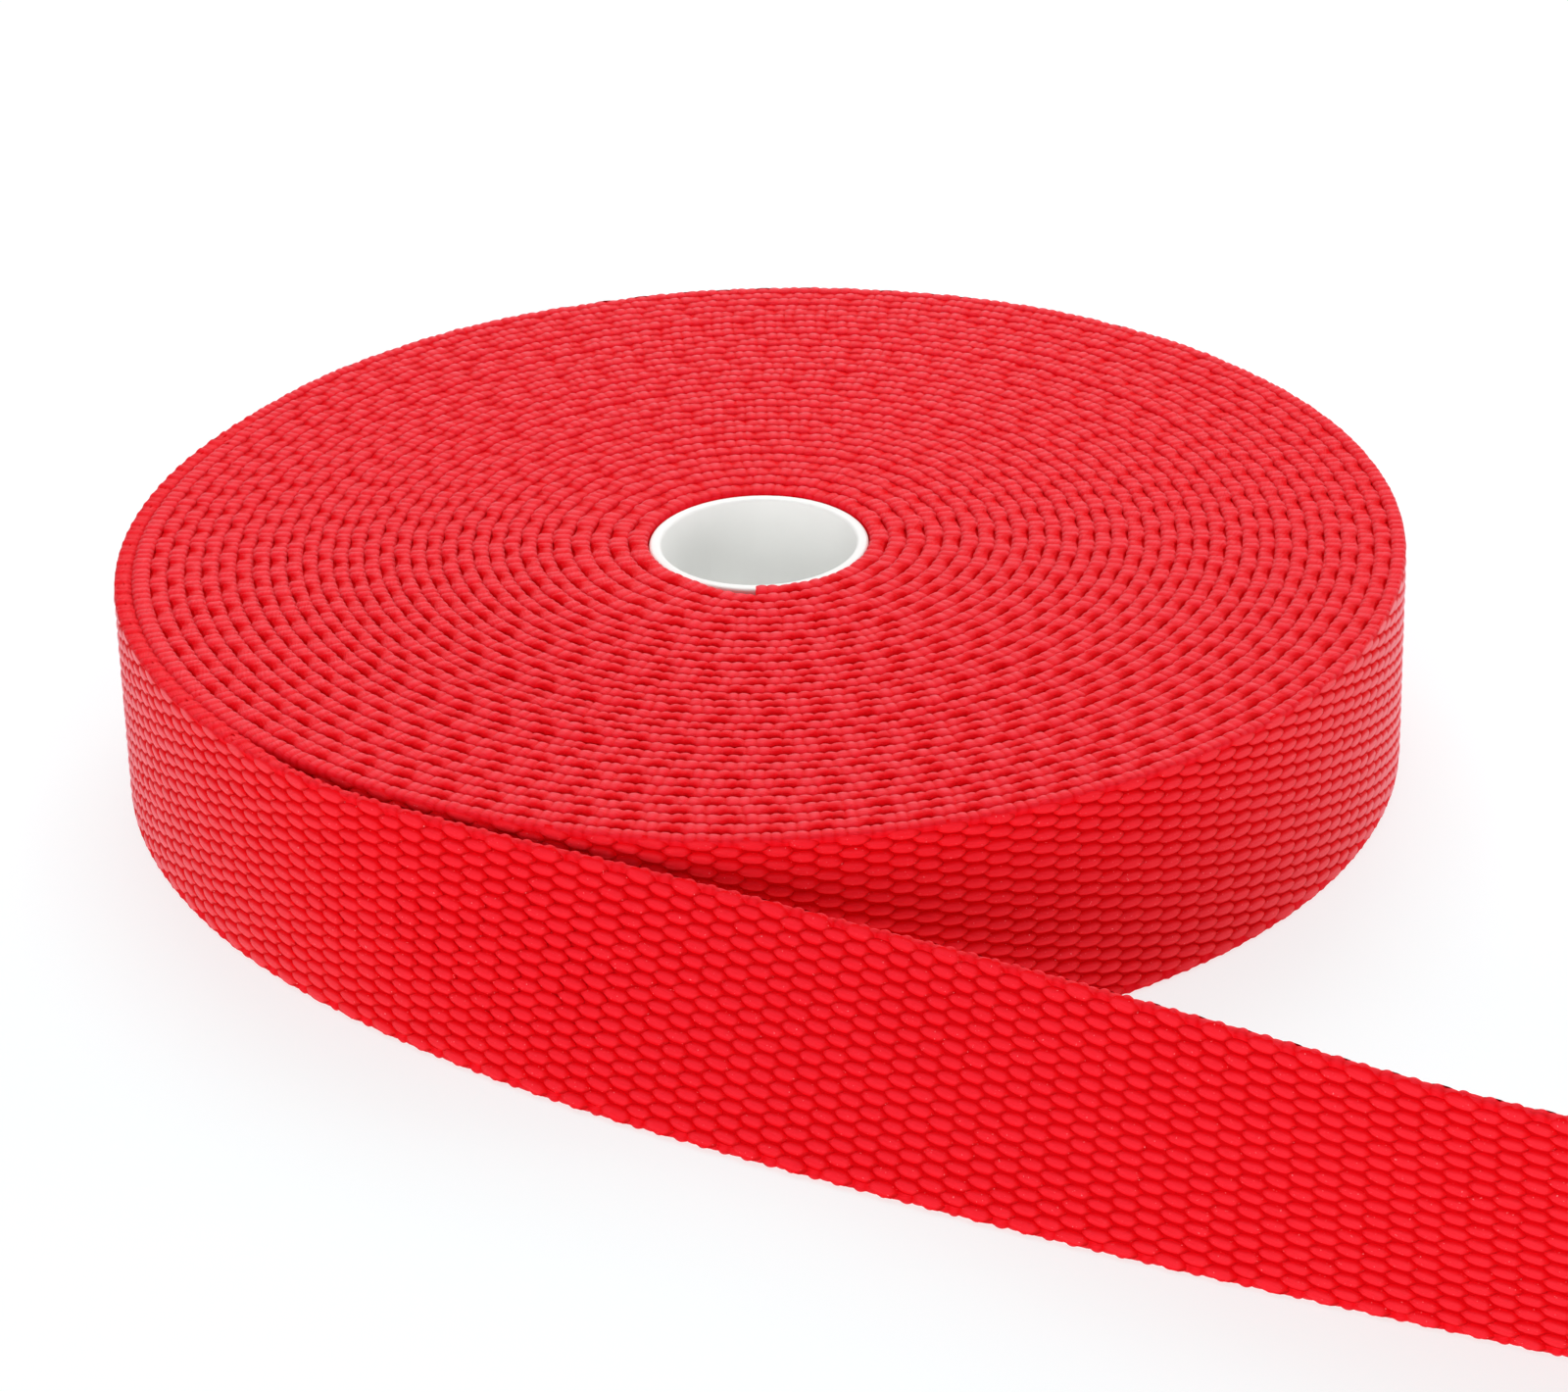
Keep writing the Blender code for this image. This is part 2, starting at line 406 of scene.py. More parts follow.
class LooseEnd:
    """The loose end's lower edge and its lean by distance."""

    def __init__(self):
        self.distance = np.linspace(0.0, LOOSE_LENGTH, LOOSE_READINGS)
        heading = np.radians(self.column(HEADING))
        step = self.distance[1]
        run = np.stack([np.cos(heading), np.sin(heading)], -1) * step
        middle = (run[1:] + run[:-1]) / 2.0
        self.edge = ROLL_AXIS + LOOSE_START + np.concatenate([[(0.0, 0.0)], np.cumsum(middle, axis=0)])
        self.heading = heading
        self.lean = np.radians(self.column(LEAN))

    def column(self, index):
        """A column of the table, read as a smooth curve through its rows."""
        rows = LOOSE_STATIONS
        spacing = (rows[1, 0] - rows[0, 0]) * MM
        last = len(rows) - 1
        row = np.minimum((self.distance / spacing).astype(int), last - 1)
        share = self.distance / spacing - row
        values = rows[:, index]
        before, start = values[np.maximum(row - 1, 0)], values[row]
        end, after = values[row + 1], values[np.minimum(row + 2, last)]
        slope_start, slope_end, rise = (end - before) / 2.0, (after - start) / 2.0, end - start
        curve = 3.0 * rise - 2.0 * slope_start - slope_end
        twist = slope_start + slope_end - 2.0 * rise
        return start + share * (slope_start + share * (curve + share * twist))

    def at(self, distance, height, out):
        """Points at heights across the band, so far out of its middle on the side away from the roll."""
        half = bpy.context.scene.webbing_sizes.thickness / 2.0
        x, y, heading, lean = (
            np.interp(distance, self.distance, values)
            for values in (*self.edge.T, self.heading, self.lean)
        )
        zero = np.zeros_like(x)
        inward = np.stack([-np.sin(heading), np.cos(heading), zero], -1)
        upright = np.stack([zero, zero, zero + 1.0], -1)
        sine, cosine = np.sin(lean)[:, None], np.cos(lean)[:, None]
        up = sine * inward + cosine * upright
        front = sine * upright - cosine * inward
        foot = np.stack([x, y, zero + half], -1)
        return foot + (height - half)[:, None] * up + out[:, None] * front

    def frame_at(self, distance, height, out):
        """Points with the directions along the band and out of its front."""
        low = np.maximum(distance - PROBE_STEP, 0.0)
        high = np.minimum(distance + PROBE_STEP, LOOSE_LENGTH)
        along = self.at(high, height, out) - self.at(low, height, out)
        along /= np.linalg.norm(along, axis=1)[:, None]
        above, below = (self.at(distance, height + way * PROBE_STEP, out) for way in (1.0, -1.0))
        across = above - below
        across /= np.linalg.norm(across, axis=1)[:, None]
        return self.at(distance, height, out), along, np.cross(along, across)


def weave_places(low, high, face):
    """Distances and heights of the floats on a face (0 front, 1 back), between two distances."""
    sizes = bpy.context.scene.webbing_sizes
    first, last = math.floor(low / sizes.repeat) - 1, math.ceil(high / sizes.repeat) + 1
    distances, heights = [], []
    for row in range(sizes.rows):
        height = sizes.width / 2.0 + (row - (sizes.rows - 1) / 2.0) * sizes.row_pitch
        height += LAST_ROW_OUT * ((row == sizes.rows - 1) - (row == 0))
        shift = 0.5 * ((row + face) % 2)
        along = (np.arange(first, last) + shift) * sizes.repeat
        along = along[(along >= low) & (along <= high)]
        distances.append(along)
        heights.append(np.full_like(along, height))
    return np.concatenate(distances), np.concatenate(heights)


# Helpers for node trees


def add_node(tree, kind, **settings):
    node = tree.nodes.new(kind)
    for key, value in settings.items():
        setattr(node, key, value)
    return node


def feed(tree, socket, value):
    """Links an output to a socket, or sets the socket to a number or colour."""
    if isinstance(value, bpy.types.NodeSocket):
        tree.links.new(value, socket)
    else:
        socket.default_value = value


def arithmetic(tree, operation, *values):
    """What a Math node makes of outputs and numbers."""
    node = add_node(tree, "ShaderNodeMath", operation=operation)
    for socket, value in zip(node.inputs, values):
        feed(tree, socket, value)
    return node.outputs[0]


def ranged(tree, value, start, end, low=0.0, high=1.0, interpolation="LINEAR"):
    """A value taken from start and end to low and high, and kept between them."""
    node = add_node(tree, "ShaderNodeMapRange", interpolation_type=interpolation)
    names = ("Value", "From Min", "From Max", "To Min", "To Max")
    for name, number in zip(names, (value, start, end, low, high)):
        feed(tree, node.inputs[name], number)
    return node.outputs["Result"]


def mixed(tree, factor, first, second):
    """The first colour turned into the second by a factor."""
    node = add_node(tree, "ShaderNodeMix", data_type="RGBA")
    for name, value in (("Factor", factor), ("A", first), ("B", second)):
        feed(tree, node.inputs[name], value)
    return node.outputs["Result"]


def mottle(tree, vector, scale, detail, roughness=0.5):
    """Noise from 0 to 1 on a vector."""
    node = add_node(tree, "ShaderNodeTexNoise")
    names = ("Vector", "Scale", "Detail", "Roughness")
    for name, value in zip(names, (vector, scale, detail, roughness)):
        feed(tree, node.inputs[name], value)
    return node.outputs["Fac"]


def object_place(tree):
    return add_node(tree, "ShaderNodeTexCoord").outputs["Object"]


# Yarn floats, placed by Geometry Nodes


def float_shape(name):
    """A float one unit long, wide and high: a leaf with pointed ends, open below."""
    points, faces, marks = [], [], []
    for place, half_width, height, sway in FLOAT_STATIONS:
        for j in range(FLOAT_SIDES + 1):
            v = -math.cos(math.pi * j / FLOAT_SIDES)
            lift = math.sqrt(max(1.0 - v * v, 0.0))
            foot = -FLOAT_FOOT if abs(v) > 0.99 else 0.0
            points.append((place, half_width * v + sway, height * lift + foot))
            marks.append((0.5 + place, 0.5 + 0.5 * v))
    row = FLOAT_SIDES + 1
    for i in range(len(FLOAT_STATIONS) - 1):
        for j in range(FLOAT_SIDES):
            a = i * row + j
            faces.append((a, a + row, a + row + 1, a + 1))
    obj = new_mesh_object(name, points, faces)
    layer = obj.data.uv_layers.new(name="yarn")
    for loop in obj.data.loops:
        layer.data[loop.index].uv = marks[loop.vertex_index]
    return obj


def float_tree():
    """Geometry Nodes that set one float on each place, a little uneven, and make them one mesh."""
    name = "yarn_floats"
    if name in bpy.data.node_groups:
        return bpy.data.node_groups[name]
    tree = bpy.data.node_groups.new(name, "GeometryNodeTree")
    face, links = tree.interface, tree.links
    for socket, kind in (
        ("Places", "Geometry"),
        ("Float", "Object"),
        ("Material", "Material"),
        ("Size Unevenness", "Float"),
        ("Turn Unevenness", "Float"),
        ("Seed", "Int"),
    ):
        face.new_socket(socket, in_out="INPUT", socket_type=f"NodeSocket{kind}")
    face.new_socket("Floats", in_out="OUTPUT", socket_type="NodeSocketGeometry")

    def add(kind, **settings):
        return add_node(tree, kind, **settings)

    def named(attribute):
        node = add("GeometryNodeInputNamedAttribute", data_type="FLOAT_VECTOR")
        node.inputs["Name"].default_value = attribute
        return node.outputs["Attribute"]

    def uneven(low, high, seed_shift):
        """A random vector on each place."""
        node = add("FunctionNodeRandomValue", data_type="FLOAT_VECTOR")
        links.new(arithmetic(tree, "ADD", source.outputs["Seed"], seed_shift), node.inputs["Seed"])
        links.new(low, node.inputs["Min"])
        links.new(high, node.inputs["Max"])
        return node.outputs["Value"]

    source, target = add("NodeGroupInput"), add("NodeGroupOutput")
    shape = add("GeometryNodeObjectInfo")
    links.new(source.outputs["Float"], shape.inputs["Object"])
    turn = add("FunctionNodeAxesToRotation", primary_axis="Z", secondary_axis="X")
    links.new(named("facing"), turn.inputs["Primary Axis"])
    links.new(named("along"), turn.inputs["Secondary Axis"])
    size_spread = source.outputs["Size Unevenness"]
    smallest = arithmetic(tree, "SUBTRACT", 1.0, size_spread)
    spread = uneven(smallest, arithmetic(tree, "ADD", 1.0, size_spread), 0.0)
    scale = add("ShaderNodeVectorMath", operation="MULTIPLY")
    links.new(named("size"), scale.inputs[0])
    links.new(spread, scale.inputs[1])
    set_floats = add("GeometryNodeInstanceOnPoints")
    links.new(source.outputs["Places"], set_floats.inputs["Points"])
    links.new(shape.outputs["Geometry"], set_floats.inputs["Instance"])
    links.new(turn.outputs["Rotation"], set_floats.inputs["Rotation"])
    links.new(scale.outputs[0], set_floats.inputs["Scale"])
    turn_spread = source.outputs["Turn Unevenness"]
    wobble = add("GeometryNodeRotateInstances")
    links.new(set_floats.outputs["Instances"], wobble.inputs["Instances"])
    turned_back = arithmetic(tree, "MULTIPLY", turn_spread, -1.0)
    links.new(uneven(turned_back, turn_spread, 1.0), wobble.inputs["Rotation"])
    tone = add("FunctionNodeRandomValue", data_type="FLOAT")
    links.new(source.outputs["Seed"], tone.inputs["Seed"])
    store = add("GeometryNodeStoreNamedAttribute", data_type="FLOAT", domain="INSTANCE")
    store.inputs["Name"].default_value = "yarn_tone"
    links.new(wobble.outputs["Instances"], store.inputs["Geometry"])
    links.new(tone.outputs[1], store.inputs["Value"])
    real = add("GeometryNodeRealizeInstances")
    links.new(store.outputs["Geometry"], real.inputs["Geometry"])
    finish = add("GeometryNodeSetMaterial")
    links.new(real.outputs["Geometry"], finish.inputs["Geometry"])
    links.new(source.outputs["Material"], finish.inputs["Material"])
    links.new(finish.outputs["Geometry"], target.inputs["Floats"])
    return tree


def set_input(modifier, name, value):
    """Sets a modifier's input by the identifier of its named socket."""
    for item in modifier.node_group.interface.items_tree:
        if item.item_type == "SOCKET" and item.in_out == "INPUT" and item.name == name:
            modifier[item.identifier] = value
            return
    raise RuntimeError(f"the tree has no input named {name}")


def place_floats(name, shape, places, facing, along, size, unevenness=(0.05, 0.05)):
    """One mesh of floats: each faces one way and lies along another, with its length, width and rise."""
    obj = new_mesh_object(name, places)
    for key, values in (("facing", facing), ("along", along), ("size", size)):
        layer = obj.data.attributes.new(key, "FLOAT_VECTOR", "POINT")
        layer.data.foreach_set("vector", np.asarray(values, np.float32).ravel())
    modifier = obj.modifiers.new("floats", "NODES")
    modifier.node_group = float_tree()
    set_input(modifier, "Float", shape)
    set_input(modifier, "Material", yarn_material())
    set_input(modifier, "Size Unevenness", unevenness[0])
    set_input(modifier, "Turn Unevenness", unevenness[1])
    set_input(modifier, "Seed", bpy.context.scene.webbing_sizes.seed)
    return settle(obj)


def level(vectors):
    """Flat vectors as vectors of three coordinates."""
    return np.concatenate([vectors, np.zeros((len(vectors), 1))], axis=1)


# Materials


def rgba(colour, share=1.0):
    """A colour, or a darker share of it, for a colour socket."""
    return (*[share * value for value in colour], 1.0)


def shader_tree(name):
    material = bpy.data.materials.new(name)
    material.use_nodes = True
    tree = material.node_tree
    return material, tree, tree.nodes["Principled BSDF"]


def filament_group():
    """What the yarn's own map, 0 to 1 along and across it, says of a place on a yarn.

    Streak is the fine filaments, Crest the yarn's middle line against its sides, Ends its middle
    against both ends, Tip the slanted far end that dives under the next yarn, and Lint fine specks.
    """
    # The materials use Crest, Ends and Tip to paint shade on the yarn.
    name = "yarn_filaments"
    if name in bpy.data.node_groups:
        return bpy.data.node_groups[name]
    tree = bpy.data.node_groups.new(name, "ShaderNodeTree")
    face = tree.interface
    for socket, kind in (("Map", "Vector"), ("Tone", "Float"), ("Twist", "Float")):
        face.new_socket(socket, in_out="INPUT", socket_type=f"NodeSocket{kind}")
    for socket in ("Streak", "Crest", "Ends", "Lint", "Tip"):
        face.new_socket(socket, in_out="OUTPUT", socket_type="NodeSocketFloat")
    source, target = add_node(tree, "NodeGroupInput"), add_node(tree, "NodeGroupOutput")
    split = add_node(tree, "ShaderNodeSeparateXYZ")
    tree.links.new(source.outputs["Map"], split.inputs[0])
    along, across = split.outputs["X"], split.outputs["Y"]

    from_middle = arithmetic(tree, "SUBTRACT", across, 0.5)
    side = arithmetic(tree, "ABSOLUTE", from_middle)
    reach = arithmetic(tree, "ABSOLUTE", arithmetic(tree, "SUBTRACT", along, 0.46))
    slant = arithmetic(tree, "MULTIPLY_ADD", from_middle, -0.5, along)
    leaned = arithmetic(tree, "MULTIPLY_ADD", along, source.outputs["Twist"], across)
    shift = arithmetic(tree, "MULTIPLY", source.outputs["Tone"], 40.0)
    join = add_node(tree, "ShaderNodeCombineXYZ")
    for socket, value in zip(join.inputs, (along, leaned, shift)):
        tree.links.new(value, socket)
    stretch = add_node(tree, "ShaderNodeVectorMath", operation="MULTIPLY")
    stretch.inputs[1].default_value = (1.8, 24.0, 1.0)
    tree.links.new(join.outputs[0], stretch.inputs[0])

    specks = mottle(tree, object_place(tree), 4200.0, 1.0)
    for socket, value in (
        ("Streak", mottle(tree, stretch.outputs[0], 1.0, 3.0, 0.6)),
        ("Crest", ranged(tree, side, 0.5, 0.15, interpolation="SMOOTHSTEP")),
        ("Ends", ranged(tree, reach, 0.46, 0.26, interpolation="SMOOTHSTEP")),
        ("Lint", ranged(tree, specks, 0.72, 0.90)),
        ("Tip", ranged(tree, slant, 0.84, 1.0, interpolation="SMOOTHSTEP")),
    ):
        tree.links.new(value, target.inputs[socket])
    return tree


def add_filaments(tree):
    """The filaments of a material, read from the piece's UV map."""
    group = add_node(tree, "ShaderNodeGroup", node_tree=filament_group())
    group.inputs["Twist"].default_value = 0.35
    uv = add_node(tree, "ShaderNodeUVMap", uv_map="yarn")
    tree.links.new(uv.outputs["UV"], group.inputs["Map"])
    return group


def yarn_surface(tree, shader, colour, filaments, strength, depth, specular):
    """Gives the shader its colour, the filaments' bump and a crest smoother than the sides."""
    crest = filaments.outputs["Crest"]
    tree.links.new(colour, shader.inputs["Base Color"])
    tree.links.new(ranged(tree, crest, 0.0, 1.0, 0.85, 0.40), shader.inputs["Roughness"])
    shader.inputs["Specular IOR Level"].default_value = specular
    bump = add_node(tree, "ShaderNodeBump")
    bump.inputs["Strength"].default_value = strength
    bump.inputs["Distance"].default_value = depth
    tree.links.new(filaments.outputs["Streak"], bump.inputs["Height"])
    tree.links.new(bump.outputs["Normal"], shader.inputs["Normal"])


def painted_sheen_at_grazing(tree, colour, mask, power, facing=None):
    """A painted sheen: the colour turned paler where it is seen along its surface, as on fuzzy yarn, by a
    mask.

    Where the piece has an attribute that says which way its cloth faces, that way counts.
    """
    weight = add_node(tree, "ShaderNodeLayerWeight")
    weight.inputs["Blend"].default_value = 0.5
    if facing:
        way = add_node(tree, "ShaderNodeAttribute", attribute_name=facing)
        tree.links.new(way.outputs["Vector"], weight.inputs["Normal"])
    steep = arithmetic(tree, "POWER", weight.outputs["Facing"], power)
    masked = arithmetic(tree, "MULTIPLY", steep, mask)
    return mixed(tree, masked, colour, rgba(bpy.context.scene.webbing_colours.painted_sheen_and_lint))


def yarn_material():
    """Red nylon yarn of the floats: filaments, painted shade on the sides, ends and tips, painted sheen at a
    glancing view, a few pale specks.
    """
    name = "nylon_yarn"
    if name in bpy.data.materials:
        return bpy.data.materials[name]
    colours = bpy.context.scene.webbing_colours
    material, tree, shader = shader_tree(name)
    filaments = add_filaments(tree)
    tone = add_node(tree, "ShaderNodeAttribute", attribute_name="yarn_tone")
    tree.links.new(tone.outputs["Fac"], filaments.inputs["Tone"])
    streak, crest, ends, lint, tip = filaments.outputs
    # The darker red towards a float's sides and ends is painted shade; the streaks are the filaments' own.
    blend = ranged(tree, streak, 0.3, 0.7, 0.55, 1.0)
    shaded = arithmetic(tree, "MULTIPLY", blend, arithmetic(tree, "MULTIPLY", crest, ends))
    colour = mixed(tree, shaded, rgba(colours.yarn_painted_shade), rgba(colours.yarn))
    # Painted sheen where the cloth is seen along its surface.
    colour = painted_sheen_at_grazing(tree, colour, crest, 3.4, "facing")
    # Painted shade at each float's slanted far tip.
    colour = mixed(tree, tip, colour, rgba(colours.yarn_painted_shade, 0.72))
    colour = mixed(tree, lint, colour, rgba(colours.painted_sheen_and_lint))
    yarn_surface(tree, shader, colour, filaments, 0.5, 0.08 * MM, 0.06)
    return material


def edge_material(name="nylon_edge", crest="edge", deep="edge_painted_shade", grazing=0.7):
    """The yarn on the woven edges, where the cross yarns go round as small bars.

    The strip's attribute "recess" is 0 on a bar, 0.5 between two bars and 1 in a notch; the colour turns
    darker by it, as painted shade.
    """
    if name in bpy.data.materials:
        return bpy.data.materials[name]
    colours = bpy.context.scene.webbing_colours
    material, tree, shader = shader_tree(name)
    filaments = add_filaments(tree)
    streak, middle_line = filaments.outputs["Streak"], filaments.outputs["Crest"]
    recess = add_node(tree, "ShaderNodeAttribute", attribute_name="recess").outputs["Fac"]
    # Painted shade: darker red between the bars and towards the edge's sides.
    raised = ranged(tree, recess, 0.0, 0.5, 1.0, 0.0)
    shaded = arithmetic(tree, "MULTIPLY", raised, arithmetic(tree, "MULTIPLY", streak, 1.6))
    shaded = arithmetic(tree, "MULTIPLY", shaded, arithmetic(tree, "MULTIPLY_ADD", middle_line, 0.5, 0.5))
    colour = mixed(tree, shaded, rgba(getattr(colours, deep)), rgba(getattr(colours, crest)))
    # Painted sheen on the bars' crests seen along their surface.
    mask = arithmetic(tree, "MULTIPLY", arithmetic(tree, "MULTIPLY", shaded, middle_line), grazing)
    colour = painted_sheen_at_grazing(tree, colour, mask, 3.0)
    # Painted shade in the notches.
    sunk = ranged(tree, recess, 0.5, 1.0)
    colour = mixed(tree, sunk, colour, rgba(colours.yarn_painted_shade, 0.95))
    yarn_surface(tree, shader, colour, filaments, 1.0, 0.12 * MM, 0.05)
    return material


def cloth_material():
    """The cloth that shows in the depths between the floats, coloured darker than they are as painted shade,
    with a faint mottle.
    """
    name = "nylon_cloth"
    if name in bpy.data.materials:
        return bpy.data.materials[name]
    deep = bpy.context.scene.webbing_colours.yarn_painted_shade
    material, tree, shader = shader_tree(name)
    noise = mottle(tree, object_place(tree), 2500.0, 2.0)
    tree.links.new(mixed(tree, noise, rgba(deep, 0.68), rgba(deep, 0.84)), shader.inputs["Base Color"])
    shader.inputs["Roughness"].default_value = 0.8
    shader.inputs["Specular IOR Level"].default_value = 0.05
    return material


def tube_material():
    """Smooth white plastic with a faint mottle."""
    tube = bpy.context.scene.webbing_colours.tube
    material, tree, shader = shader_tree("white_tube_plastic")
    noise = mottle(tree, object_place(tree), 180.0, 4.0)
    tree.links.new(mixed(tree, noise, rgba(tube, 0.95), rgba(tube)), shader.inputs["Base Color"])
    tree.links.new(ranged(tree, noise, 0.0, 1.0, 0.42, 0.55), shader.inputs["Roughness"])
    return material


# The pieces


def band_section(half, low, high, corner):
    """The section of the cloth under the floats: (out, height) points round it, with cut corners."""
    return [
        (half, low + corner),
        (half, high - corner),
        (half - corner, high),
        (corner - half, high),
        (-half, high - corner),
        (-half, low + corner),
        (corner - half, low),
        (half - corner, low),
    ]


def loft(name, rings):
    """A closed band through rings of points, capped at both ends."""
    count, size = len(rings), len(rings[0])
    faces = []
    for i in range(count - 1):
        for j in range(size):
            k = (j + 1) % size
            faces.append((i * size + j, i * size + k, (i + 1) * size + k, (i + 1) * size + j))
    faces.append(tuple(reversed(range(size))))
    faces.append(tuple((count - 1) * size + j for j in range(size)))
    return new_mesh_object(name, np.concatenate(rings), faces)


def edge_height(distance):
    """How much higher or lower a turn's upper edge lies than the webbing's width."""
    slow = slow_noise(distance, 190.0 * MM, 3) + 0.5 * slow_noise(distance, 41.0 * MM, 4) - 0.6
    return TURN_UNEVEN * (slow + 0.5 * slow_noise(distance, 6.0 * MM, 5))


def notch(turned):
    """A dip of the edge's outer side once each repeat: it opens slowly and closes at once."""
    share = np.mod(turned, 1.0) / NOTCH_LENGTH
    return np.where(share < 1.0, np.minimum(share * 2.2, 1.0) * np.clip((1.0 - share) * 5.0, 0.0, 1.0), 0.0)


def edge_rows(distance, flip, halves, feet, dip, scallop):
    """The woven edge's section at each distance: rows of (out, drop) and how deep each point lies, for the
    painted shade.

    Each cross yarn that goes round the edge makes a small bar. The edge yarn may dip on the outer
    side once each repeat, which opens small holes between the turns, or rise and fall twice.
    """
    turned = distance / bpy.context.scene.webbing_sizes.repeat + flip
    phase = BARS_IN_REPEAT * math.pi
    uneven = 0.88 + 0.16 * slow_noise(distance, 23.0 * MM, 8)
    outer = dip * notch(turned + NOTCH_SHIFT * slow_noise(distance, 61.0 * MM, 9)) * uneven
    bars = np.abs(np.cos(phase * (turned + BAR_SHIFT * slow_noise(distance, 9.0 * MM, 6))))
    valley = (1.0 - bars) ** 1.3 * (0.95 + 0.2 * slow_noise(distance, 5.0 * MM, 11))
    wave = scallop * (0.5 - 0.5 * np.cos(phase * turned)) + BAR_DEPTH * valley
    zero = np.zeros_like(distance)
    half_outer, half_inner = halves[0] - NOTCH_IN * outer, halves[1] + zero
    foot_outer, foot_inner = (
        np.minimum(half - 0.04, foot) for half, foot in zip((half_outer, half_inner), feet)
    )
    rows = (
        # out, drop (mm)
        (foot_outer, zero + FOOT_DROP),
        (half_outer, SHOULDER_DROP + NOTCH_DOWN * outer + wave),
        (np.minimum(halves[0] * 0.62, half_outer - 0.08), CREST_DROP + 0.06 * outer + wave),
        (-half_inner * 0.60, CREST_DROP + wave),
        (-half_inner, SHOULDER_DROP + wave),
        (-foot_inner, zero + FOOT_DROP),
    )
    # How deep each point lies, which sets its painted shade: notches, dips between bars and the inner foot
    # lie deepest.
    between = 0.5 * valley
    depth = np.stack([
        np.maximum(outer, between), np.maximum(outer, between), np.maximum(0.7 * outer, between),
        between, between, np.maximum(0.5, between),
    ], axis=1)
    return np.stack([np.stack([out, drop], -1) for out, drop in rows], axis=1) * MM, depth


def edge_strip(name, place, distance, flip, upper, halves, feet, dip, scallop, material):
    """A woven edge as one strip: place() gives the points for distances, heights and outs."""
    sizes = bpy.context.scene.webbing_sizes
    rows, depth = edge_rows(distance, flip, halves, feet, dip, scallop)
    count, across = rows.shape[:2]
    height = sizes.width - rows[:, :, 1] if upper else rows[:, :, 1]
    points = np.stack([place(distance, height[:, j], rows[:, j, 0]) for j in range(across)], axis=1)
    i, j = np.meshgrid(np.arange(count - 1), np.arange(across - 1), indexing="ij")
    corner = (i * across + j).ravel()
    faces = np.stack([corner, corner + across, corner + across + 1, corner + 1], -1)
    if not upper:
        faces = faces[:, ::-1]
    strip = new_mesh_object(name, points.reshape(-1, 3), faces)
    layer = strip.data.uv_layers.new(name="yarn")
    along = np.repeat(distance / sizes.repeat, across)
    marks = np.stack([along, np.tile(np.linspace(0.0, 1.0, across), count)], -1)
    loops = np.zeros(len(strip.data.loops), dtype=np.int32)
    strip.data.loops.foreach_get("vertex_index", loops)
    layer.data.foreach_set("uv", marks[loops].astype(np.float32).ravel())
    # How deep each point lies, kept for the material's painted shade.
    recess = strip.data.attributes.new("recess", "FLOAT", "POINT")
    recess.data.foreach_set("value", depth.astype(np.float32).ravel())
    strip.data.materials.append(material)
    return strip


def laid_share(distance):
    """How far the loose end still lies on the roll, and how much further each edge reaches over."""
    return 1.0 - smooth_step(distance, *LIFTS_OFF), np.interp(distance, SPREADS, (0.0, REACH_ACROSS))


class WEBBING_OT_wound_turns(Operator):
    """Build the cloth of all the wound turns, as one spiral band"""

    bl_idname = "webbing.wound_turns"
    bl_label = "Wound turns"

    def execute(self, context):
        sizes = context.scene.webbing_sizes
        winding = Winding()
        step = sizes.repeat / 2.0
        distance = np.concatenate([np.arange(winding.distance[0], 0.0, step), [0.0]])
        places, _, outward = winding.at(distance)
        last = distance > last_turn_start(winding)
        outer = np.where(last, sizes.core / 2.0, TURN_CLOTH_OUT + winding.slack(distance))
        drop = np.where(last, EDGE_REST, TURN_CLOTH_DROP)
        inner = np.full_like(outer, -TURN_CLOTH_IN)
        section = (
            (outer, drop),
            (outer, sizes.width - drop),
            (inner, sizes.width - drop),
            (inner, drop),
        )
        rings = np.stack([
            np.concatenate([places + out[:, None] * outward, height[:, None]], axis=1)
            for out, height in section
        ], axis=1)
        band = loft("wound_turns", rings)
        band.data.materials.append(cloth_material())
        carried(band, "webbing", "webbing_roll")
        return {"FINISHED"}


class WEBBING_OT_roll_edges(Operator):
    """Build the woven edges of all the wound turns, above and below"""

    bl_idname = "webbing.roll_edges"
    bl_label = "Roll edges"

    def execute(self, context):
        sizes = context.scene.webbing_sizes
        winding = Winding()
        inner = winding.distance[0]

        def on_turns(distance, height, out):
            places, _, outward = winding.at(distance)
            lift = np.where(height > sizes.width / 2.0, edge_height(distance), 0.0)
            return np.concatenate([places + out[:, None] * outward, (height + lift)[:, None]], axis=1)

        fine, coarse = sizes.repeat / STATIONS_IN_REPEAT, sizes.repeat / LOWER_STATIONS_IN_REPEAT
        middle = round(inner * 0.5 / fine) * fine
        for name, low, high, step, flip, upper, dip, scallop in (
            ("upper_edges_inner_turns", inner, middle, fine, 0.0, True, 1.0, 0.0),
            ("upper_edges_outer_turns", middle, 0.0, fine, 0.0, True, 1.0, 0.0),
            ("lower_turn_edges", inner, 0.0, coarse, 0.5, False, 0.0, 0.12),
        ):
            distance = np.arange(math.ceil(low / step - 0.01), math.floor(high / step + 0.01) + 1) * step
            last = distance > last_turn_start(winding)
            covered, reach = laid_share(winding.distance_under_end(distance))
            slack = winding.slack(distance) / MM
            half_outer = np.where(last, FACE_HALF + (0.36 + reach) * covered, TURN_HALF_OUTER + slack)
            strip = edge_strip(
                name,
                on_turns,
                distance,
                flip,
                upper,
                halves=(half_outer, TURN_HALF_INNER),
                feet=(np.where(last, FACE_FOOT + LAID_FOOT * covered, LAID_FOOT), 1.0),
                dip=np.where(last, 0.0, dip),
                scallop=scallop,
                material=edge_material(),
            )
            carried(strip, "webbing")
        return {"FINISHED"}


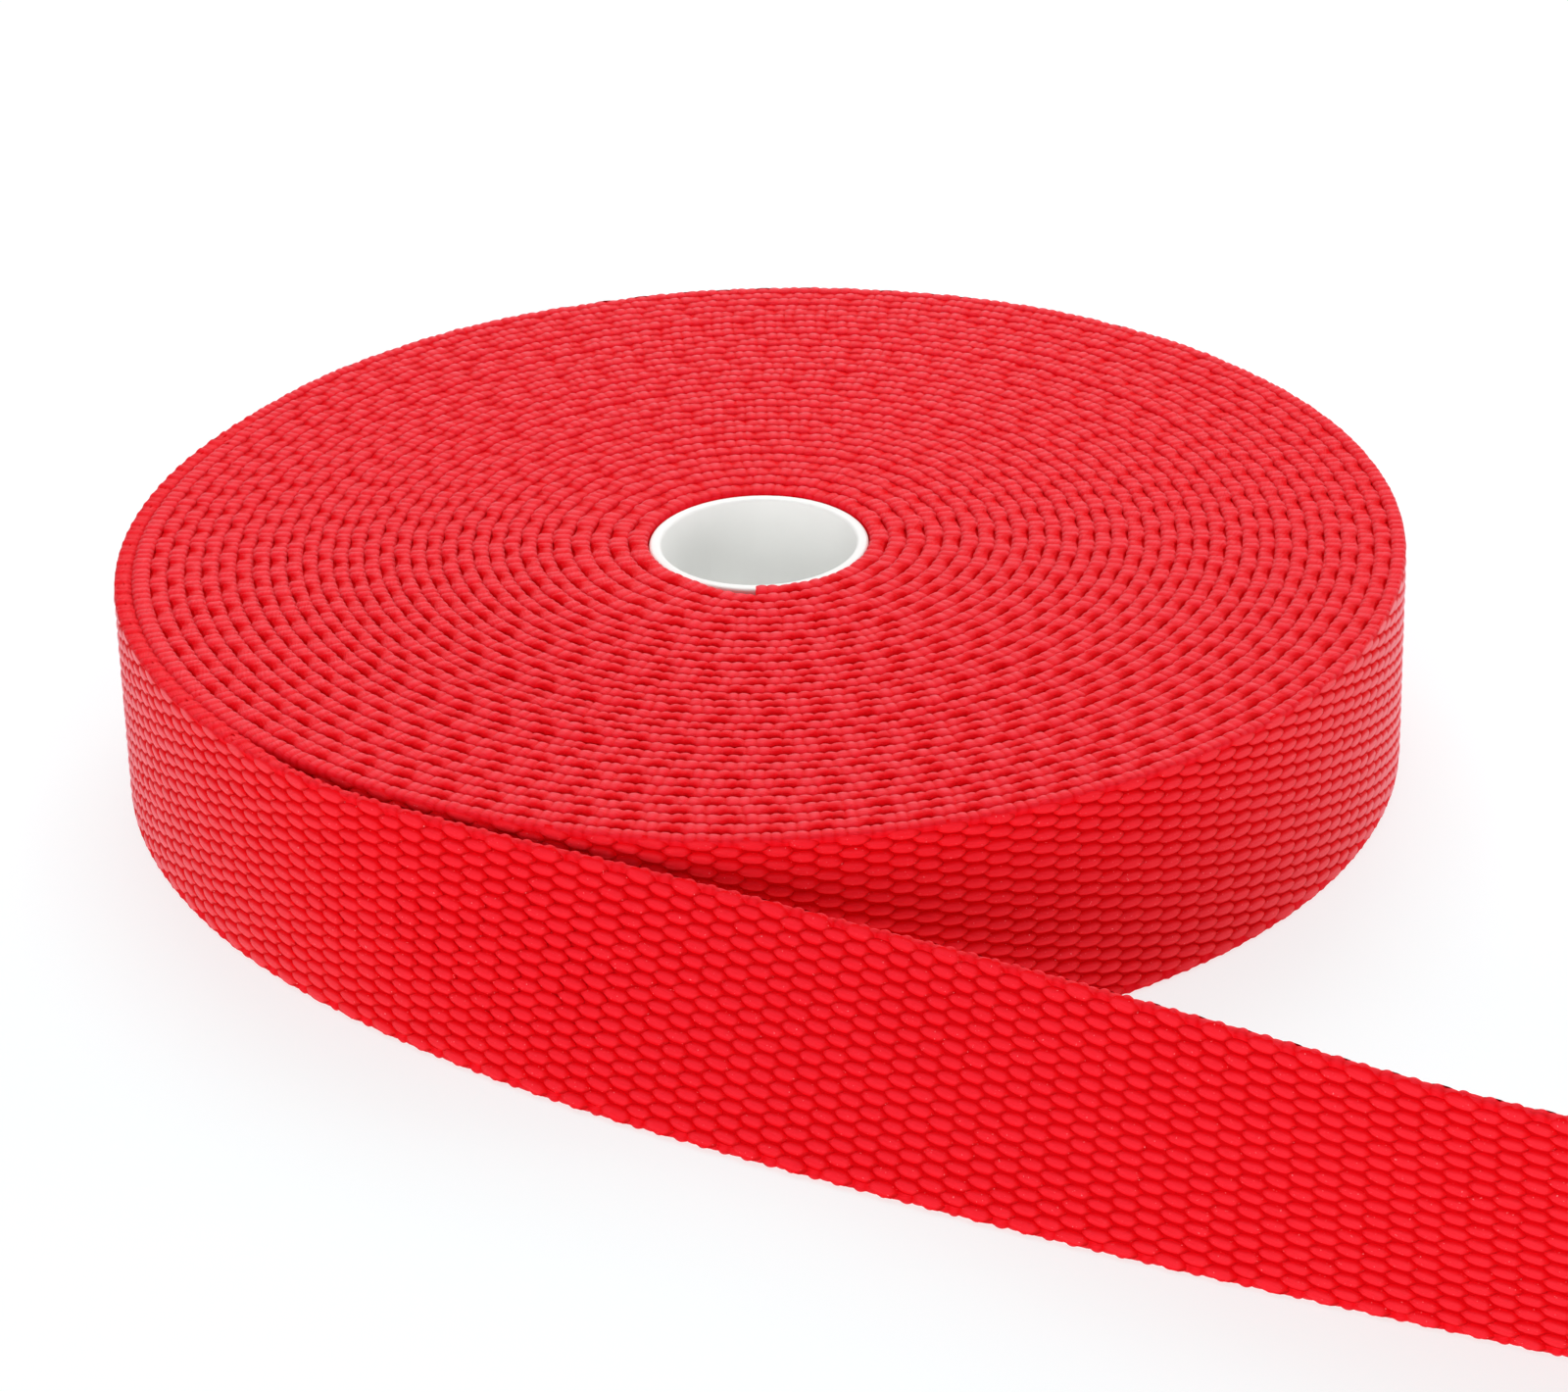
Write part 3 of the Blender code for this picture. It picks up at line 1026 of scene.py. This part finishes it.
class WEBBING_OT_roll_face(Operator):
    """Build the floats on the roll's outer face"""

    bl_idname = "webbing.roll_face"
    bl_label = "Roll face"

    def execute(self, context):
        sizes = context.scene.webbing_sizes
        winding = Winding()
        start = np.interp(winding.turned[-1] - FLOAT_TURN, winding.turned, winding.distance)
        distance, height = weave_places(start, -0.1 * MM, 0)
        places, along, outward = winding.at(distance)
        flat = places + outward * sizes.core / 2.0
        points = np.concatenate([flat, height[:, None]], axis=1)
        shape = float_shape("face_float")
        face = place_floats(
            "roll_face_floats", shape, points, level(outward), level(along), face_float_sizes(height)
        )
        bpy.data.objects.remove(shape)
        carried(face, "webbing")
        return {"FINISHED"}


def face_float_sizes(height):
    """Length, width and rise of the floats at heights across the band; the last row is longer."""
    sizes = bpy.context.scene.webbing_sizes
    last = np.abs(height - sizes.width / 2.0) > (sizes.rows - 1.5) / 2.0 * sizes.row_pitch
    stretch = np.where(last, LAST_ROW_STRETCH, 1.0)
    rise = np.full_like(height, sizes.float_rise)
    return np.stack([sizes.float_length * stretch, sizes.float_width * stretch, rise], -1)


class WEBBING_OT_loose_end(Operator):
    """Build the loose end: its cloth, the floats on both faces and its woven edges"""

    bl_idname = "webbing.loose_end"
    bl_label = "Loose end"

    def execute(self, context):
        sizes = context.scene.webbing_sizes
        end = LooseEnd()
        distance = np.linspace(0.0, LOOSE_LENGTH, LOOSE_RINGS)
        section = band_section(sizes.core / 2.0, EDGE_REST, sizes.width - EDGE_REST, CLOTH_CORNER)
        columns = [
            end.at(distance, np.full_like(distance, height), np.full_like(distance, out))
            for out, height in section
        ]
        cloth = loft("loose_end_cloth", np.stack(columns, axis=1))
        cloth.data.materials.append(cloth_material())
        carried(cloth, "webbing", "loose_end")

        woven = []
        shape = float_shape("face_float")
        for face, name in ((0, "loose_end_front_floats"), (1, "loose_end_back_floats")):
            side = 1.0 if face == 0 else -1.0
            distance, height = weave_places(0.2 * MM, LOOSE_LENGTH - 1.0 * MM, face)
            out = np.full_like(distance, side * sizes.core / 2.0)
            points, along, facing = end.frame_at(distance, height, out)
            woven.append(place_floats(name, shape, points, facing * side, along, face_float_sizes(height)))
        bpy.data.objects.remove(shape)

        loose = edge_material("nylon_loose_edge", "yarn", "yarn_painted_shade", 0.15)
        distance = np.arange(0.0, LOOSE_LENGTH - 0.3 * MM, sizes.repeat / STATIONS_IN_REPEAT)
        laid, reach = laid_share(distance)
        halves = (LOOSE_HALF + 0.20 * laid, LOOSE_HALF + (0.71 + reach) * laid)
        feet = (FACE_FOOT, FACE_FOOT + LAID_FOOT * laid)
        for name, flip, upper in (
            ("loose_end_upper_edge", 0.0, True),
            ("loose_end_lower_edge", 0.5, False),
        ):
            woven.append(edge_strip(name, end.at, distance, flip, upper, halves, feet, 0.0, 0.16, loose))
        for piece in woven:
            carried(piece, "webbing")
        return {"FINISHED"}


class WEBBING_OT_core_tube(Operator):
    """Build the white tube with its rounded rim"""

    bl_idname = "webbing.core_tube"
    bl_label = "Core tube"

    def execute(self, context):
        outer, inner = TUBE_RADIUS - TUBE_ROUND, TUBE_RADIUS - TUBE_WALL + TUBE_ROUND
        low, high = TUBE_ROUND, TUBE_HIGH[2] - TUBE_ROUND
        profile = []
        for radius, height, first in (
            (outer, low, -90.0), (outer, high, 0.0), (inner, high, 90.0), (inner, low, 180.0),
        ):
            for index in range(TUBE_ROUND_STEPS + 1):
                angle = math.radians(first + 90.0 * index / TUBE_ROUND_STEPS)
                profile.append((radius + TUBE_ROUND * math.cos(angle), height + TUBE_ROUND * math.sin(angle)))
        size = len(profile)
        points, faces = [], []
        for index in range(TUBE_STEPS):
            angle = 2.0 * math.pi * index / TUBE_STEPS
            for radius, height in profile:
                points.append((
                    TUBE_CENTRE[0] + radius * math.cos(angle),
                    TUBE_CENTRE[1] + radius * math.sin(angle),
                    height,
                ))
            after = (index + 1) % TUBE_STEPS
            for j in range(size):
                k = (j + 1) % size
                faces.append((index * size + j, after * size + j, after * size + k, index * size + k))
        tube = new_mesh_object("white_tube", points, faces)
        tube.data.materials.append(tube_material())
        carried(tube, "tube", "core_tube")
        return {"FINISHED"}


class WEBBING_OT_stage(Operator):
    """Build the camera, the pale floor and the soft studio light"""

    bl_idname = "webbing.stage"
    bl_label = "Stage"

    def execute(self, context):
        self.camera(context)
        self.floor(context)
        self.lights(context)
        return {"FINISHED"}

    def camera(self, context):
        data = bpy.data.cameras.new("photo_camera")
        data.sensor_width = SENSOR_WIDTH
        data.lens = CAMERA_FOCUS_PIXELS / IMAGE_WIDTH_PIXELS * SENSOR_WIDTH
        data.clip_start, data.clip_end = 0.01, 50.0
        pitch, yaw, roll = (math.radians(value) for value in (CAMERA_PITCH, CAMERA_YAW, CAMERA_ROLL))
        forward = Vector((
            math.sin(yaw) * math.cos(pitch), math.cos(yaw) * math.cos(pitch), -math.sin(pitch)
        ))
        right = forward.cross(Vector((0.0, 0.0, 1.0))).normalized()
        up = right.cross(forward)
        right, up = (
            right * math.cos(roll) + up * math.sin(roll),
            up * math.cos(roll) - right * math.sin(roll),
        )
        camera = bpy.data.objects.new("photo_camera", data)
        camera.matrix_world = Matrix.Translation(
            (ROLL_AXIS[0], ROLL_AXIS[1] - CAMERA_BACK, CAMERA_HEIGHT)
        ) @ Matrix((right, up, -forward)).transposed().to_4x4()
        context.scene.collection.objects.link(camera)
        context.scene.camera = camera

    def floor(self, context):
        corners = [
            (FLOOR_REACH * x, FLOOR_REACH * y, 0.0) for x, y in ((-1, -1), (1, -1), (1, 1), (-1, 1))
        ]
        floor = new_mesh_object("studio_floor", corners, [(0, 1, 2, 3)], smooth=False)
        material, tree, shader = shader_tree("studio_floor")
        shader.inputs["Base Color"].default_value = (*context.scene.webbing_colours.floor, 1.0)
        shader.inputs["Roughness"].default_value = 0.9
        shader.inputs["Specular IOR Level"].default_value = 0.1
        shader.inputs["Emission Color"].default_value = (1.0, 1.0, 1.0, 1.0)
        shader.inputs["Emission Strength"].default_value = FLOOR_GLOW
        floor.data.materials.append(material)

    def lights(self, context):
        world = bpy.data.worlds.new("studio_world")
        world.use_nodes = True
        background = world.node_tree.nodes["Background"]
        background.inputs["Color"].default_value = (1.0, 1.0, 1.0, 1.0)
        background.inputs["Strength"].default_value = WORLD_GLOW
        context.scene.world = world
        context.scene.view_settings.view_transform = "Standard"
        aim = Vector((0.0, 0.0, 0.0))
        for name, place, size, power in LAMPS:
            data = bpy.data.lights.new(name, "AREA")
            data.shape = "SQUARE"
            data.size = size
            data.energy = power
            lamp = bpy.data.objects.new(name, data)
            lamp.location = place
            lamp.rotation_euler = (aim - Vector(place)).to_track_quat("-Z", "Y").to_euler()
            context.scene.collection.objects.link(lamp)


class WEBBING_PT_panel(Panel):
    """Lists the pieces of the webbing roll"""

    bl_label = "Webbing roll"
    bl_idname = "WEBBING_PT_panel"
    bl_space_type = "VIEW_3D"
    bl_region_type = "UI"
    bl_category = "Webbing"

    def draw(self, context):
        layout = self.layout
        for group in (context.scene.webbing_sizes, context.scene.webbing_colours):
            box = layout.box()
            for name in group.__annotations__:
                box.prop(group, name)
        for operator in OPERATORS:
            layout.operator(operator.bl_idname)


OPERATORS = (
    WEBBING_OT_stage,
    WEBBING_OT_core_tube,
    WEBBING_OT_wound_turns,
    WEBBING_OT_roll_edges,
    WEBBING_OT_roll_face,
    WEBBING_OT_loose_end,
)
CLASSES = (WebbingSizes, WebbingColours, *OPERATORS, WEBBING_PT_panel)


def register():
    for item in CLASSES:
        bpy.utils.register_class(item)
    bpy.types.Scene.webbing_sizes = PointerProperty(type=WebbingSizes)
    bpy.types.Scene.webbing_colours = PointerProperty(type=WebbingColours)


def unregister():
    del bpy.types.Scene.webbing_colours
    del bpy.types.Scene.webbing_sizes
    for item in reversed(CLASSES):
        bpy.utils.unregister_class(item)


def main():
    register()
    bpy.ops.webbing.stage()
    bpy.ops.webbing.core_tube()
    bpy.ops.webbing.wound_turns()
    bpy.ops.webbing.roll_edges()
    bpy.ops.webbing.roll_face()
    bpy.ops.webbing.loose_end()


if __name__ == "__main__":
    main()
